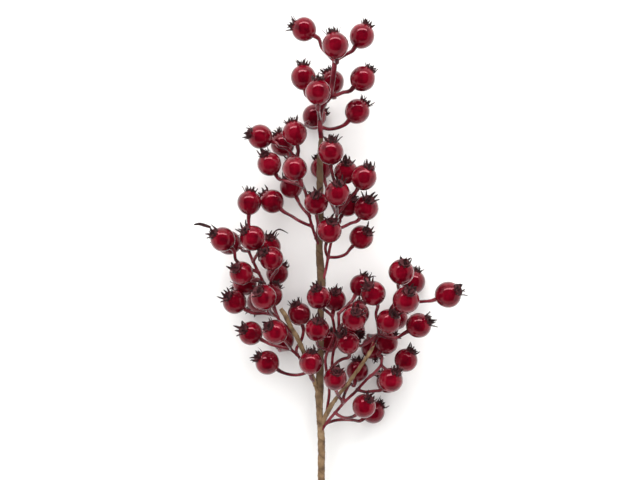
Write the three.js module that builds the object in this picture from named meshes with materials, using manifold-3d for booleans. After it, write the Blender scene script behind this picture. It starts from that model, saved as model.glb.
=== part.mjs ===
// An artificial berry sprig: glossy berries with dried crowns on moulded stalks, taped to a wire stem.
// It lies on its back: X runs across it, Y along it towards its tip, Z up from the surface it lies on.
// All sizes are in millimetres.
import * as THREE from 'three';
import { mergeVertices } from 'three/addons/utils/BufferGeometryUtils.js';
import Module from 'manifold-3d';

const wasm = await Module();
wasm.setup();

// ---- Driving dimensions ---------------------------------------------------------------------------------

const EYE_HEIGHT = 835; // height from which the plan is given
const STEM_LEVEL = 35; // height at which the plan has its true size
const GAP = 0.4; // air kept between two pieces that touch
const CLEARANCE = 0.8; // room that a stalk keeps from the berries it bends round
const STALK_RADIUS = 1;
const SPINE_RADIUS = 1.25;
const SETTLE_PASSES = 400; // times that the berries' heights are eased
const SETTLE_SHARE = 0.3; // part of what is missing between two berries that each of them gives at a time
const SETTLE_LIMIT = 3; // most that a berry rises or sinks at a time
const BEND_PASSES = 12; // times that a stalk is eased away from what it passes
const STALK_SIDES = 5;
const STALK_STEP = 7; // length of one straight piece of a stalk
const KNOT_SEARCH = 60; // places tried along a spine for the foot of a stalk
const LEAD = 4; // straight run of a stalk just below its berry
const LEAN = 0.5; // how far a stalk turns from straight under the crown to the way that it comes from
const SEAT = 1; // how far a stalk runs into a berry that is one piece with it
const BERRY_SIDES = 9;
const CROWN_NECK = 0.36; // crown radius where it leaves the berry, as a part of the berry's radius
const CROWN_LIP = 0.44; // crown radius at its open end, as a part of the berry's radius
const CROWN_HEIGHT = 3.6; // crown length beyond the berry
const CROWN_DISH = 1.4; // how deep the crown's open end is
const STEM_SIDES = 8;
const STEM_STEPS = 22;
const BRANCH_STEPS = 8;
const WIRE_SHARE = 0.42; // wire radius as a part of the wrapped stem's radius
const WIRE_GAP = 0.15; // air round the wire, as a part of the wrapped stem's radius
const SEPAL_WIDTH = 2.4;
const SEPAL_THICKNESS = 0.8;

const FINISH = {
  berry: { color: '#7d0a18', roughness: 0.12, metalness: 0 },
  stalk: { color: '#4a1216', roughness: 0.4, metalness: 0 },
  tape: { color: '#7b6447', roughness: 0.85, metalness: 0 },
  wire: { color: '#5a5a58', roughness: 0.45, metalness: 1 },
  sepal: { color: '#2c1714', roughness: 0.7, metalness: 0 },
};

// ---- Layout ---------------------------------------------------------------------------------------------

// Every point is [across, along, height]. Across and along are as they look from straight above, from
// EYE_HEIGHT over the surface, so what lies higher is really a little nearer to the middle: see place().

// Wrapped stems: points from the tip down, and the wrapped radius at each of them.
const MAIN_STEM = {
  points: [[1, 82, 37], [0, 60, 37], [0, 37.5, 37], [0.5, 15, 36], [-0.5, -7.5, 35], [1, -30, 35],
    [0.5, -54, 34], [0.5, -82.5, 32], [-0.5, -114, 29], [-0.5, -126, 27], [1, -150, 23], [1, -180, 17.5],
    [2, -232, 8], [2, -284, 3.2]],
  radii: [1.3, 2.3, 2.6, 2.3, 2.6, 3.2, 2.4, 2.3, 3.3, 2.5, 2.7, 2.7, 2.7, 2.7],
};
const LEFT_BRANCH = {
  points: [[-29.5, -51.5, 39], [-27, -55, 39], [-22.5, -64, 38], [-17, -73.5, 37], [-13, -82.5, 36],
    [-7, -99, 34], [-1, -115, 30]],
  radii: [1.5, 1.8, 1.7, 1.8, 1.7, 1.7, 1.7],
};
const RIGHT_BRANCH = {
  points: [[41, -76.5, 39], [37.5, -84, 39], [24, -103.5, 37], [12, -119, 33], [7, -126.5, 30],
    [1.5, -138, 26]],
  radii: [1.3, 1.4, 1.4, 1.4, 1.9, 1.7],
};

// A berry: its middle, its width, the heading of its crown in the plan and above the surface in degrees,
// the spine knot where its stalk leaves, and the bends that the stalk makes on the way. The height of its
// middle is only a first one: settle() raises or lowers it until nothing touches.
const berry = (at, width, heading, knot, bends = []) => ({ at, width, heading, knot, bends, loose: true });

// A berry at the back, moulded in one piece with its stalk.
const backBerry = (...facts) => ({ ...berry(...facts), loose: false });

const PICKS = {
  top: {
    spines: [[[1, 76, 37], [0, 85.5, 37.5], [0, 90.5, 38.5], [1.5, 100, 41], [7, 107, 44], [9, 116, 46],
      [10.5, 127.5, 48], [11, 134, 50]]],
    berries: [
      berry([-12, 158, 47], 18, [160, 0], 7, [[1, 145, 49]]),
      berry([11.5, 146, 72], 19, [100, 0], 7),
      berry([31.5, 153, 49], 18.5, [65, 0], 7, [[19, 139, 50]]),
      berry([-12.5, 122, 49], 18.5, [90, 0], 3, [[-7, 106.5, 44]]),
      berry([-1.5, 111, 71], 18.5, [90, 10], 2, [[-1, 94.5, 52]]),
      backBerry([9, 118.5, 35], 18, [115, 0], 4),
      berry([32, 121, 53], 18.5, [50, 5], 4, [[15, 109.5, 47], [20, 112, 50]]),
      berry([28, 96.5, 42], 18.5, [50, 0], 1, [[9, 83, 38], [17, 86, 40]]),
      backBerry([-4, 93, 9], 18.5, [30, -20], 1, [[-6, 84, 27]]),
    ],
  },
  upper_left: {
    spines: [[[-0.5, -4.5, 35], [-3, 1.5, 40], [-6, 10.5, 42], [-8, 18, 43], [-9, 25.5, 44], [-10, 33, 46],
      [-13, 40.5, 48], [-16.5, 60, 42]]],
    berries: [
      berry([-45, 77.5, 37], 18.5, [165, 25], 7, [[-25.5, 69, 40], [-32, 70.5, 38]]),
      backBerry([-28, 72, 21], 18.5, [120, 0], 7, [[-24, 63, 32]]),
      berry([-19, 80, 45], 18.5, [105, 0], 7, [[-16.5, 65, 44]]),
      berry([-38, 57, 37], 18, [115, 25], 6, [[-21, 43, 44], [-28.5, 45, 40]]),
      berry([-19, 53.5, 67], 18, [110, -35], 5, [[-12, 39, 52]]),
      backBerry([-21.5, 40, 27], 17.5, [115, 20], 3, [[-14, 25, 38]]),
      berry([-36, 29, 33], 18, [135, -15], 2, [[-15, 14, 40], [-23, 19, 36]]),
      berry([-3, 28, 61], 17.5, [90, 50], 1, [[-1.5, 10.5, 48]]),
    ],
  },
  upper_right: {
    spines: [[[1, -34.5, 35], [4, -24, 38], [6, -13.5, 40], [8, -3, 42], [11, 7.5, 45], [12.5, 18, 46],
      [12, 30, 48], [11, 44, 52]]],
    berries: [
      backBerry([1, 54, 9], 17, [105, 0], 5, [[7, 31.5, 24]]),
      berry([8, 66, 69], 18.5, [85, 25], 7),
      berry([19.5, 51, 53], 17.5, [85, 40], 6, [[16, 37.5, 50]]),
      berry([33, 47, 69], 18.5, [65, 25], 5, [[18, 25, 50], [22.5, 31.5, 56]]),
      berry([13, 35, 75], 18, [85, 40], 5, [[13, 24, 60]]),
      backBerry([20.5, 26, 39], 17, [55, 40], 4, [[15, 13.5, 42]]),
      berry([34.5, 24, 51], 18.5, [70, 45], 4, [[18, 10, 46], [25, 13.5, 46]]),
      berry([7, 7, 65], 18, [75, 40], 2, [[4, -7.5, 48]]),
      berry([31, 2, 37], 18, [45, 45], 2, [[12, -13, 38], [19.5, -10.5, 36]]),
    ],
  },
  left: {
    spines: [[[-21, -70, 37.5], [-26.5, -63.5, 38], [-32, -58, 38], [-34, -50, 37], [-37.5, -41, 36],
      [-42, -32.5, 39], [-46, -24.5, 42], [-50, -16.5, 44], [-53.5, -8.5, 44]]],
    berries: [
      berry([-53, 28, 39], 18, [85, 0], 8, [[-53, 9, 42]]),
      berry([-73, 0.5, 59], 18, [145, 30], 6, [[-57, -19, 48], [-63.5, -14.5, 52]]),
      backBerry([-68.5, -2, 27], 18.5, [160, 0], 8, [[-58, -8, 40]]),
      berry([-50.5, 1.5, 63], 18.5, [135, 30], 7),
      berry([-38, -5, 33], 17.5, [85, 35], 7, [[-46.5, -10.5, 38]]),
      berry([-36.5, -14, 61], 17.5, [135, 35], 4, [[-36, -28, 48]]),
      backBerry([-32, -25, 20], 17, [55, 0], 4),
      berry([-59, -25, 61], 17.5, [130, 50], 5, [[-49, -30, 50]]),
      backBerry([-56.5, -32.5, 29], 18.5, [-145, -30], 5),
      berry([-42.5, -43, 75], 18.5, [125, 50], 2, [[-37, -54, 50]]),
      backBerry([-46, -46.5, 9], 18.5, [-130, -20], 2),
      berry([-64, -46.5, 37], 18, [135, 40], 2, [[-40.5, -55, 34], [-49.5, -55, 33]]),
      backBerry([-37, -41.5, 45], 17.5, [60, -20], 2),
    ],
  },
  lower_left: {
    spines: [[[-9, -99, 35], [-14, -91.5, 38], [-17, -86, 39], [-22, -82, 40]]],
    berries: [
      berry([-52, -70, 39], 18, [145, 45], 3, [[-34.5, -79, 38], [-40.5, -77, 37]]),
      berry([-33.5, -69, 67], 18, [135, 40], 3, [[-23, -79.5, 50]]),
      backBerry([-27.5, -75, 9], 17, [55, -20], 3),
      berry([-39.5, -92, 43], 18, [145, 20], 0, [[-11, -100.5, 36], [-21, -101, 37], [-28, -100, 38]]),
      berry([-7, -92, 69], 17, [85, 10], 0, [[-5, -106, 52]]),
      backBerry([-15.5, -55.5, 33], 17.5, [110, 20], 2, [[-18.5, -83, 34], [-15, -78, 31], [-13, -71, 30]]),
    ],
  },
  middle: {
    spines: [[[5, -129, 29], [7, -112.5, 33], [5, -99, 36], [4, -90, 38], [6, -82.5, 40], [10, -73.5, 41],
      [10.5, -65, 42], [9, -57, 43]]],
    berries: [
      berry([-1, -43, 63], 17.5, [105, 35], 7, [[4.5, -53, 50]]),
      backBerry([11, -45, 33], 17.5, [85, 40], 7),
      berry([-2, -67, 65], 17.5, [85, 40], 4, [[-1, -80, 50]]),
      backBerry([6, -76, 14], 17.5, [60, 0], 4),
    ],
  },
  right: {
    spines: [[[38, -82.5, 39], [41, -76.5, 39.5], [44, -71, 41], [47, -64.5, 42], [51, -55.5, 42],
      [56, -47, 42]]],
    berries: [
      berry([51.5, -61, 67], 18, [60, 40], 2, [[47, -70, 52]]),
      backBerry([57, -58.5, 31], 18, [45, -20], 4),
      backBerry([39, -81, 9], 17, [-60, 0], 2, [[40.5, -71.5, 28]]),
      berry([74, -64, 49], 18.5, [30, 25], 2, [[51, -73, 42], [59, -73, 42]]),
      berry([64.5, -45, 79], 19, [75, 45], 5, [[58.5, -49.5, 58]]),
      berry([61, -24, 67], 18.5, [75, 40], 5, [[59, -39, 52]]),
      backBerry([70, -31.5, 9], 18.5, [80, 5], 5),
      berry([96, -41, 65], 19, [30, 35], 5, [[66, -47, 50], [78, -46, 56]]),
      berry([40, -40, 63], 18, [125, 40], 2, [[43.5, -64, 48], [42, -55, 52]]),
      backBerry([25.5, -68, 24], 17, [-40, 55], 2, [[39, -74, 34], [33, -79, 34]]),
    ],
  },
  lower_right: {
    spines: [
      [[0, -145, 25], [5, -137, 27], [11, -130, 29], [17, -123, 31], [23, -117, 33], [28.5, -112, 34],
        [33, -106.5, 35], [38, -102, 36], [43, -97.5, 37], [46, -94, 38]],
      [[17, -123, 31], [17, -121.5, 35], [14, -117, 38.5], [11, -111.5, 39], [9, -96.5, 40], [10, -84, 41],
        [13, -75, 42], [14, -66, 43], [14, -55, 42]],
    ],
    berries: [
      berry([64.5, -90, 35], 17.5, [60, 15], 9, [[52.5, -99, 34]]),
      berry([53, -105, 53], 18, [60, 30], 5, [[34.5, -114, 38], [42, -113, 42]]),
      backBerry([50.5, -106.5, 12], 17, [130, -20], 7, [[44.5, -100, 28]]),
      berry([33, -124.5, 47], 17.5, [60, 35], 2, [[18, -133.5, 34], [22.5, -133, 38]]),
      backBerry([40, -129, 9], 17.5, [45, 0], 1, [[13, -135, 24], [24, -135, 18]]),
      backBerry([50, -77, 21], 17.5, [45, -10], 9, [[46, -87, 30]]),
      backBerry([30.5, -34, 33], 16.5, [65, 0], 18, [[19.5, -51, 38]]),
      berry([25.5, -59, 71], 17.5, [75, 50], 16, [[16, -64, 46]]),
      backBerry([28, -55, 39], 18, [70, -20], 17),
      berry([21, -77, 53], 17, [125, 20], 14, [[13.5, -91, 44]]),
      berry([11.5, -104, 67], 17, [80, 45], 12),
      backBerry([28, -98, 9], 17, [90, 0], 11, [[19, -114, 26], [22.5, -108, 20]]),
    ],
  },
};

// Two crown sepals that dried long and curled: the path of each from the crown outwards.
const LONG_SEPALS = {
  long_sepal_left: [[-82, 9.5, 65], [-86.5, 11, 66], [-90.5, 12, 66], [-94.5, 11.5, 65]],
  long_sepal_middle: [[-35, 5, 42], [-33, 7, 42.5], [-30.5, 8, 43], [-27.5, 7, 43], [-24, 5, 42]],
};

// ---- Shapes ---------------------------------------------------------------------------------------------

// The point that is seen at a place of the plan, for its height.
function place([across, along, height]) {
  const share = (EYE_HEIGHT - height) / (EYE_HEIGHT - STEM_LEVEL);
  return new THREE.Vector3(across * share, along * share, height);
}

const radians = THREE.MathUtils.degToRad;
const smooth = (points) => new THREE.CatmullRomCurve3(points, false, 'centripetal');

// A regular section for a rod, hollow where an inner radius is given.
function rodSection(radius, sides, innerRadius = 0) {
  const ring = (size) => Array.from({ length: sides }, (_, i) => {
    const turn = (2 * Math.PI * i) / sides;
    return new THREE.Vector2(size * Math.cos(turn), size * Math.sin(turn));
  });
  const section = new THREE.Shape(ring(radius));
  if (innerRadius > 0) section.holes.push(new THREE.Path(ring(innerRadius)));
  return section;
}

function rodAlong(curve, section, steps) {
  return new THREE.ExtrudeGeometry(section, { steps, extrudePath: curve, bevelEnabled: false });
}

// Scales each ring of a rod of radius 1 about its path, to the radius that the stem has there.
function swell(geometry, curve, steps, radii) {
  const rings = curve.getSpacedPoints(steps);
  const corners = geometry.attributes.position;
  const point = new THREE.Vector3();
  for (let i = 0; i < corners.count; i += 1) {
    point.fromBufferAttribute(corners, i);
    let nearest = 0;
    for (let ring = 1; ring < rings.length; ring += 1) {
      if (point.distanceTo(rings[ring]) < point.distanceTo(rings[nearest])) nearest = ring;
    }
    const along = curve.getUtoTmapping(nearest / steps) * (radii.length - 1);
    const below = Math.min(Math.floor(along), radii.length - 2);
    const radius = THREE.MathUtils.lerp(radii[below], radii[below + 1], along - below);
    point.sub(rings[nearest]).multiplyScalar(radius).add(rings[nearest]);
    corners.setXYZ(i, point.x, point.y, point.z);
  }
  geometry.computeVertexNormals();
  return geometry;
}

// A wrapped stem, from outer to inner as parts of its radius, and made wider all round by a margin.
function wrappedRod({ points, radii }, steps, outer = 1, inner = 0, margin = 0) {
  const curve = smooth(points.map(place));
  const rod = rodAlong(curve, rodSection(outer, STEM_SIDES, inner), steps);
  return swell(rod, curve, steps, radii.map((radius) => radius + margin));
}

// A berry with its crown along +Y, its middle at the origin.
function berryGeometry(radius) {
  const outline = [-90, -52, -18, 14, 44].map((degrees) => {
    const height = radians(degrees);
    return new THREE.Vector2(Math.max(0, radius * Math.cos(height)), radius * Math.sin(height));
  });
  outline[0].x = 0;
  outline.push(new THREE.Vector2(radius * CROWN_NECK, radius * 0.95));
  outline.push(new THREE.Vector2(radius * CROWN_LIP, radius + CROWN_HEIGHT));
  outline.push(new THREE.Vector2(0, radius + CROWN_HEIGHT - CROWN_DISH));
  return new THREE.LatheGeometry(outline, BERRY_SIDES);
}

function crownDirection([plan, rise]) {
  const flat = Math.cos(radians(rise));
  return new THREE.Vector3(
    flat * Math.cos(radians(plan)),
    flat * Math.sin(radians(plan)),
    Math.sin(radians(rise)),
  );
}

const UP_THE_BERRY = new THREE.Vector3(0, 1, 0);
const crownTurn = (direction) => new THREE.Quaternion().setFromUnitVectors(UP_THE_BERRY, direction);

// ---- Solids ---------------------------------------------------------------------------------------------

function toSolid(geometry) {
  const bare = geometry.clone();
  bare.deleteAttribute('normal');
  bare.deleteAttribute('uv');
  const merged = mergeVertices(bare, 1e-4);
  const corners = merged.index.array;
  const kept = [];
  for (let i = 0; i < corners.length; i += 3) {
    const [a, b, c] = [corners[i], corners[i + 1], corners[i + 2]];
    if (a !== b && b !== c && c !== a) kept.push(a, b, c);
  }
  return new wasm.Manifold(new wasm.Mesh({
    numProp: 3,
    vertProperties: new Float32Array(merged.attributes.position.array),
    triVerts: new Uint32Array(kept),
  }));
}

function toGeometry(solid) {
  const mesh = solid.getMesh();
  const geometry = new THREE.BufferGeometry();
  geometry.setAttribute('position', new THREE.BufferAttribute(mesh.vertProperties, 3));
  geometry.setIndex(new THREE.BufferAttribute(mesh.triVerts, 1));
  geometry.computeVertexNormals();
  return geometry;
}

// ---- Stalks ---------------------------------------------------------------------------------------------

const ALL_BERRIES = Object.values(PICKS).flatMap((pick) => pick.berries);

// A berry takes up the room of two balls: its own and that of its crown.
function balls(item) {
  const radius = item.width / 2;
  const middle = place(item.at);
  const crown = middle.clone().addScaledVector(crownDirection(item.heading), radius + CROWN_HEIGHT / 2);
  return [{ middle, radius }, { middle: crown, radius: radius * CROWN_LIP }];
}

// A wrapped stem takes up the room of a row of balls.
function stemBalls({ points, radii }) {
  const curve = smooth(points.map(place));
  const count = Math.ceil(curve.getLength() / Math.min(...radii));
  return curve.getPoints(count).map((middle, i) => {
    const along = (i / count) * (radii.length - 1);
    const below = Math.min(Math.floor(along), radii.length - 2);
    return { middle, radius: THREE.MathUtils.lerp(radii[below], radii[below + 1], along - below) };
  });
}

// How far two balls would have to move apart, and up or down for the first of them.
function push(first, second) {
  const missing = first.radius + second.radius + CLEARANCE - first.middle.distanceTo(second.middle);
  return Math.max(0, missing) * (first.middle.z >= second.middle.z ? 1 : -1);
}

// Raises and lowers the berries until none touches another, a crown or a stem. None goes below the surface.
function settle(items, stems) {
  for (let pass = 0; pass < SETTLE_PASSES; pass += 1) {
    const rooms = items.map(balls);
    const lifts = items.map(() => 0);
    rooms.forEach((own, i) => {
      for (let j = i + 1; j < rooms.length; j += 1) {
        for (const first of own) {
          for (const second of rooms[j]) {
            lifts[i] += push(first, second) * SETTLE_SHARE;
            lifts[j] -= push(first, second) * SETTLE_SHARE;
          }
        }
      }
      const stemPush = stems.map((stem) => push(own[0], stem));
      lifts[i] += stemPush.reduce((most, value) => (Math.abs(value) > Math.abs(most) ? value : most), 0);
    });
    items.forEach((item, i) => {
      const lowest = Math.min(...rooms[i].map(({ middle, radius }) => middle.z - radius)) - item.at[2];
      const height = item.at[2] + THREE.MathUtils.clamp(lifts[i], -SETTLE_LIMIT, SETTLE_LIMIT);
      item.at[2] = Math.max(height, -lowest);
    });
  }
}

settle(ALL_BERRIES, [MAIN_STEM, LEFT_BRANCH, RIGHT_BRANCH].flatMap(stemBalls));

// What a stalk has to pass.
const OBSTACLES = ALL_BERRIES.flatMap(balls);

// The route of a rod through its points, bent outwards wherever it comes too close to a berry.
function route(points, radius) {
  const curve = smooth(points);
  const pieces = Math.max(3, Math.round(curve.getLength() / STALK_STEP));
  const path = curve.getSpacedPoints(pieces);
  for (let pass = 0; pass < BEND_PASSES; pass += 1) {
    for (const point of path.slice(1, -1)) {
      for (const { middle, radius: size } of OBSTACLES) {
        const room = size + radius + CLEARANCE;
        const away = point.clone().sub(middle);
        if (away.length() < room) point.copy(middle).addScaledVector(away.normalize(), room);
      }
    }
  }
  return path;
}

function rodSolid(path, radius) {
  return toSolid(rodAlong(smooth(path), rodSection(radius, STALK_SIDES), path.length - 1));
}

// A stalk leaves its knot, makes its bends and runs straight into the berry, on the side away from its crown.
function stalkPath(knot, item) {
  const radius = item.width / 2;
  const middle = place(item.at);
  const way = [knot, ...item.bends.map(place)];
  const arrival = way[way.length - 1].clone().sub(middle).normalize();
  const foot = crownDirection(item.heading).negate().lerp(arrival, LEAN).normalize();
  const below = (distance) => middle.clone().addScaledVector(foot, distance);
  const path = route([...way, below(radius + LEAD)], STALK_RADIUS);
  return [...path, below(item.loose ? radius + GAP : radius - SEAT)];
}

function berrySolid(item) {
  const placed = berryGeometry(item.width / 2);
  placed.applyQuaternion(crownTurn(crownDirection(item.heading)));
  placed.translate(...place(item.at));
  return toSolid(placed);
}

// The point on the given rods nearest to a knot, so that what leaves there starts inside one of them.
function onRods(knot, paths) {
  const points = paths.flatMap((path) => smooth(path).getPoints(KNOT_SEARCH));
  return points.reduce((best, point) => (point.distanceTo(knot) < best.distanceTo(knot) ? point : best));
}

// One moulded pick: its spines, its stalks and the berries at its back, joined in one solid.
function pickSolid({ spines, berries }, sleeves) {
  const paths = [];
  for (const [start, ...rest] of spines.map((spine) => spine.map(place))) {
    const foot = paths.length > 0 ? onRods(start, paths) : start;
    paths.push(route([foot, ...rest], SPINE_RADIUS));
  }
  const knots = spines.flat().map((knot) => onRods(place(knot), paths));
  const spineRods = paths.map((path) => rodSolid(path, SPINE_RADIUS));
  const stalks = berries.map((item) => rodSolid(stalkPath(knots[item.knot], item), STALK_RADIUS));
  const joined = berries.filter((item) => !item.loose).map(berrySolid);
  const whole = [...spineRods, ...stalks, ...joined].reduce((sum, piece) => sum.add(piece));
  return sleeves.reduce((rest, sleeve) => rest.subtract(sleeve), whole);
}

// ---- The sprig ------------------------------------------------------------------------------------------

const sprig = new THREE.Group();

function addPiece(name, geometry, finish) {
  const piece = new THREE.Mesh(geometry, new THREE.MeshStandardMaterial(FINISH[finish]));
  piece.name = name;
  sprig.add(piece);
  return piece;
}

const wireBore = WIRE_SHARE + WIRE_GAP;
const mainSleeve = toSolid(wrappedRod(MAIN_STEM, STEM_STEPS, 1, 0, GAP));
const leftSleeve = toSolid(wrappedRod(LEFT_BRANCH, BRANCH_STEPS, 1, 0, GAP));
const rightSleeve = toSolid(wrappedRod(RIGHT_BRANCH, BRANCH_STEPS, 1, 0, GAP));

addPiece('main_stem', wrappedRod(MAIN_STEM, STEM_STEPS, 1, wireBore), 'tape');
addPiece('stem_wire', wrappedRod(MAIN_STEM, STEM_STEPS, WIRE_SHARE), 'wire');
for (const [name, branch] of Object.entries({ left_branch: LEFT_BRANCH, right_branch: RIGHT_BRANCH })) {
  const wrapped = toSolid(wrappedRod(branch, BRANCH_STEPS));
  addPiece(name, toGeometry(wrapped.subtract(mainSleeve)), 'tape');
}

for (const [side, pick] of Object.entries(PICKS)) {
  addPiece(`${side}_pick`, toGeometry(pickSolid(pick, [mainSleeve, leftSleeve, rightSleeve])), 'stalk');
  pick.berries.forEach((item, i) => {
    if (!item.loose) return;
    const piece = addPiece(`${side}_berry_${i + 1}`, berryGeometry(item.width / 2), 'berry');
    piece.position.copy(place(item.at));
    piece.quaternion.copy(crownTurn(crownDirection(item.heading)));
  });
}

for (const [name, points] of Object.entries(LONG_SEPALS)) {
  const curve = smooth(points.map(place));
  const section = new THREE.Shape([
    new THREE.Vector2(-SEPAL_THICKNESS / 2, 0),
    new THREE.Vector2(0, -SEPAL_WIDTH / 2),
    new THREE.Vector2(SEPAL_THICKNESS / 2, 0),
    new THREE.Vector2(0, SEPAL_WIDTH / 2),
  ]);
  addPiece(name, rodAlong(curve, section, points.length), 'sepal');
}

// The origin is the middle of the sprig's box, on the surface that it lies on.
const room = new THREE.Box3().setFromObject(sprig, true);
const middle = room.getCenter(new THREE.Vector3());
sprig.position.set(-middle.x, -middle.y, -room.min.z);

export default sprig;
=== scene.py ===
"""An artificial berry sprig, lying on its back on a pale surface.

Glossy berries with dried crowns sit on branching moulded stalks, which brown crepe tape holds to a wire
stem with two side branches. The layout is in millimetres, as in the part; every mesh is made in metres, in
the part's frame: X across the sprig, Y along it towards its tip, Z up from the surface.
"""

import logging
import math
import random
from collections.abc import Callable, Iterable
from dataclasses import dataclass, field
from enum import Enum

import bmesh
import bpy
import numpy as np
from bmesh.types import BMEdge, BMesh, BMFace, BMVert
from bpy.types import Material, Node, NodeSocket, NodeTree, Object
from mathutils import Matrix, Quaternion, Vector, noise


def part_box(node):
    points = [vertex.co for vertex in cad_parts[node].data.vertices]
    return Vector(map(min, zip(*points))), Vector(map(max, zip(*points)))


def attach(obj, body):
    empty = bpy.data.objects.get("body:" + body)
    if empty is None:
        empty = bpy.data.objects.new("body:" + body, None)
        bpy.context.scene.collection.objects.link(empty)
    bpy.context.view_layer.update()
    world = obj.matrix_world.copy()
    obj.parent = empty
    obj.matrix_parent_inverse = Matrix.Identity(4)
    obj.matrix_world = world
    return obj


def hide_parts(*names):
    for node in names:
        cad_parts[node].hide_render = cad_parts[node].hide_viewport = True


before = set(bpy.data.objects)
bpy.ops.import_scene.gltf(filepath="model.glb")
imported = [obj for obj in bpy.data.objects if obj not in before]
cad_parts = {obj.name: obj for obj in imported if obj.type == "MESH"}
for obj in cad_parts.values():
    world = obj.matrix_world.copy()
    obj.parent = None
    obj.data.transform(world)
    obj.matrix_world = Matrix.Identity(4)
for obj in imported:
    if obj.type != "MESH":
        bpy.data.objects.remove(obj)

log = logging.getLogger("sprig")

MM = 0.001
LAYOUT_ZERO = np.array((-6.770, 65.533, -0.139))  # where the layout's zero is in the part's frame
EYE_HEIGHT = 835.0  # height from which the plan is given
STEM_LEVEL = 35.0  # height at which the plan has its true size
CLEARANCE = 0.8  # room that berries, stems and stalks keep from each other
CROWN_LIP = 0.44  # the room of a crown, as a part of the berry's radius
CROWN_HEIGHT = 3.6  # how far that room reaches beyond the berry
SETTLE_PASSES = 400
SETTLE_SHARE = 0.3
SETTLE_LIMIT = 3.0  # most that a berry rises or sinks in one pass
SETTLE_REACH = 8.0  # gap in the plan past which two never come to touch
BEND_PASSES = 12
STALK_RADIUS = 1.0
SPINE_RADIUS = 1.25
STALK_STEP = 7.0
KNOT_SEARCH = 60
TAPE_PITCH = 13.0  # from one turn of the tape to the next
LEAD = 4.0  # straight run of a stalk just below its berry
LEAN = 0.5  # how far a stalk turns from straight under the crown to the way that it comes from
MATCH_LIMIT = 1.5 * MM  # most that a berry here may lie from the part's own

Point = tuple[float, float, float]
Lift = Callable[[float, float], float]


# ---- Layout ----------------------------------------------------------------------------------------------


@dataclass
class Berry:
    """One berry: where it is, how wide, where its crown points and how its stalk gets there.

    Every place is [across, along, height] in millimetres. Across and along are as they look from straight
    above, from EYE_HEIGHT: see place(). The height is a first one, and settle() raises or lowers it.
    """

    at: list[float]
    width: float
    heading: tuple[float, float]
    knot: int
    bends: list[Point] = field(default_factory=list)
    loose: bool = True

    @property
    def radius(self) -> float:
        """Half of the berry's width, in millimetres."""
        return self.width / 2

    @property
    def middle(self) -> np.ndarray:
        """The berry's middle in the layout, in millimetres."""
        return place(self.at)

    @property
    def direction(self) -> np.ndarray:
        """The unit direction that the crown points in."""
        plan, rise = (math.radians(angle) for angle in self.heading)
        return np.array((math.cos(rise) * math.cos(plan), math.cos(rise) * math.sin(plan), math.sin(rise)))


def back_berry(*facts: object) -> Berry:
    """A berry at the back, which the part moulds in one piece with its stalk."""
    return Berry(*facts, loose=False)


@dataclass
class PickPlan:
    """The spines of one moulded pick and the berries on it."""

    spines: list[list[Point]]
    berries: list[Berry]
    spine_fullness: float = 0.95  # the spines' thickness, as a part of the part's
    stalk_fullness: float = 1.25  # the same for the stalks


@dataclass
class StemPlan:
    """A wrapped stem: points from the tip down, and the wrapped radius at each of them."""

    points: list[Point]
    radii: list[float]
    painted_shade_until: float = 0.0  # millimetres from the tip within which painted shade darkens the tape


MAIN_STEM = StemPlan(
    points=[[1, 82, 37], [0, 60, 37], [0, 37.5, 37], [0.5, 15, 36], [-0.5, -7.5, 35], [1, -30, 35],
        [0.5, -54, 34], [0.5, -82.5, 32], [-0.5, -114, 29], [-0.5, -126, 27], [1, -150, 23], [1, -180, 17.5],
        [2, -232, 8], [2, -284, 3.2]],
    radii=[1.3, 2.3, 2.6, 2.3, 2.6, 3.2, 2.4, 2.3, 3.3, 2.5, 2.7, 2.7, 2.7, 2.7],
    painted_shade_until=205.0,
)
LEFT_BRANCH = StemPlan(
    points=[[-29.5, -51.5, 39], [-27, -55, 39], [-22.5, -64, 38], [-17, -73.5, 37], [-13, -82.5, 36],
        [-7, -99, 34], [-1, -115, 30]],
    radii=[1.5, 1.8, 1.7, 1.8, 1.7, 1.7, 1.7],
)
RIGHT_BRANCH = StemPlan(
    points=[[41, -76.5, 39], [37.5, -84, 39], [24, -103.5, 37], [12, -119, 33], [7, -126.5, 30],
        [1.5, -138, 26]],
    radii=[1.3, 1.4, 1.4, 1.4, 1.9, 1.7],
)

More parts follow.
